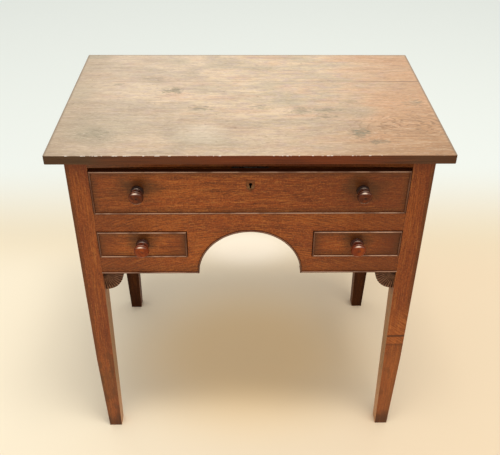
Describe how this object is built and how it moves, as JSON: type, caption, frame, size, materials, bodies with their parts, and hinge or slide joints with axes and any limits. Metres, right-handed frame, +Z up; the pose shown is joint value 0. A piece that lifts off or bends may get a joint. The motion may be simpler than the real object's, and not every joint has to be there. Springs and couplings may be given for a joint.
{
  "type": "lowboy",
  "caption": "Oak lowboy with a long drawer over small ones, an arched kneehole between them, turned knobs, carved fan brackets and square tapered legs.",
  "frame": {"origin": "middle of the bounding box at the floor", "axes": "+Z up, +Y towards the back, drawers open towards -Y, +X to the right as seen from the front"},
  "size_m": [0.7, 0.4634, 0.71],
  "materials": {
    "top_oak": "waxed oak, paler and greyer where the top has worn",
    "front_oak": "waxed red-brown oak",
    "leg_oak": "waxed red-brown oak, darker at the back",
    "inner_wood": "bare aged oak",
    "bead_oak": "waxed oak, rubbed pale along the crown",
    "bracket_oak": "dark carved oak",
    "knob_wood": "polished turned wood",
    "brass": "dull brass",
    "lock_steel": "dark steel"
  },
  "bodies": {
    "carcase": {"top_front_board": "top_oak", "top_rear_board": "top_oak", "front_top_rail": "front_oak", "front_apron": "front_oak", "arch_bead": "bead_oak", "back_board": "leg_oak", "leg_front_left": "leg_oak", "leg_back_left": "leg_oak", "side_board_left": "leg_oak", "apron_bead_left": "bead_oak", "bracket_left": "bracket_oak", "long_runner_left": "inner_wood", "kicker_left": "inner_wood", "outer_bearer_left": "inner_wood", "inner_bearer_left": "inner_wood", "drawer_stop_left": "inner_wood", "leg_front_right": "leg_oak", "leg_back_right": "leg_oak", "side_board_right": "leg_oak", "apron_bead_right": "bead_oak", "bracket_right": "bracket_oak", "long_runner_right": "inner_wood", "kicker_right": "inner_wood", "outer_bearer_right": "inner_wood", "inner_bearer_right": "inner_wood", "drawer_stop_right": "inner_wood"},
    "long_drawer": {"long_drawer_front": "front_oak", "long_drawer_side_left": "inner_wood", "long_drawer_side_right": "inner_wood", "long_drawer_back": "inner_wood", "long_drawer_bottom": "inner_wood", "long_drawer_bead_bottom": "bead_oak", "long_drawer_bead_right": "bead_oak", "long_drawer_bead_top": "bead_oak", "long_drawer_bead_left": "bead_oak", "long_drawer_knob_left": "knob_wood", "long_drawer_knob_right": "knob_wood", "escutcheon": "brass", "lock_case": "lock_steel"},
    "lock_bolt": {"lock_bolt": "lock_steel"},
    "small_drawer_left": {"small_drawer_left_front": "front_oak", "small_drawer_left_side_left": "inner_wood", "small_drawer_left_side_right": "inner_wood", "small_drawer_left_back": "inner_wood", "small_drawer_left_bottom": "inner_wood", "small_drawer_left_bead_bottom": "bead_oak", "small_drawer_left_bead_right": "bead_oak", "small_drawer_left_bead_top": "bead_oak", "small_drawer_left_bead_left": "bead_oak", "small_drawer_left_knob": "knob_wood"},
    "small_drawer_right": {"small_drawer_right_front": "front_oak", "small_drawer_right_side_left": "inner_wood", "small_drawer_right_side_right": "inner_wood", "small_drawer_right_back": "inner_wood", "small_drawer_right_bottom": "inner_wood", "small_drawer_right_bead_bottom": "bead_oak", "small_drawer_right_bead_right": "bead_oak", "small_drawer_right_bead_top": "bead_oak", "small_drawer_right_bead_left": "bead_oak", "small_drawer_right_knob": "knob_wood"}
  },
  "joints": [
    {"name": "long_drawer_slide", "type": "slide", "parent": "carcase", "child": "long_drawer", "axis": [0, -1, 0], "range_m": [0, 0.33]},
    {"name": "small_drawer_left_slide", "type": "slide", "parent": "carcase", "child": "small_drawer_left", "axis": [0, -1, 0], "range_m": [0, 0.34]},
    {"name": "small_drawer_right_slide", "type": "slide", "parent": "carcase", "child": "small_drawer_right", "axis": [0, -1, 0], "range_m": [0, 0.34]},
    {"name": "lock_bolt_slide", "type": "slide", "parent": "long_drawer", "child": "lock_bolt", "axis": [0, 0, 1], "range_m": [0, 0.014]}
  ]
}
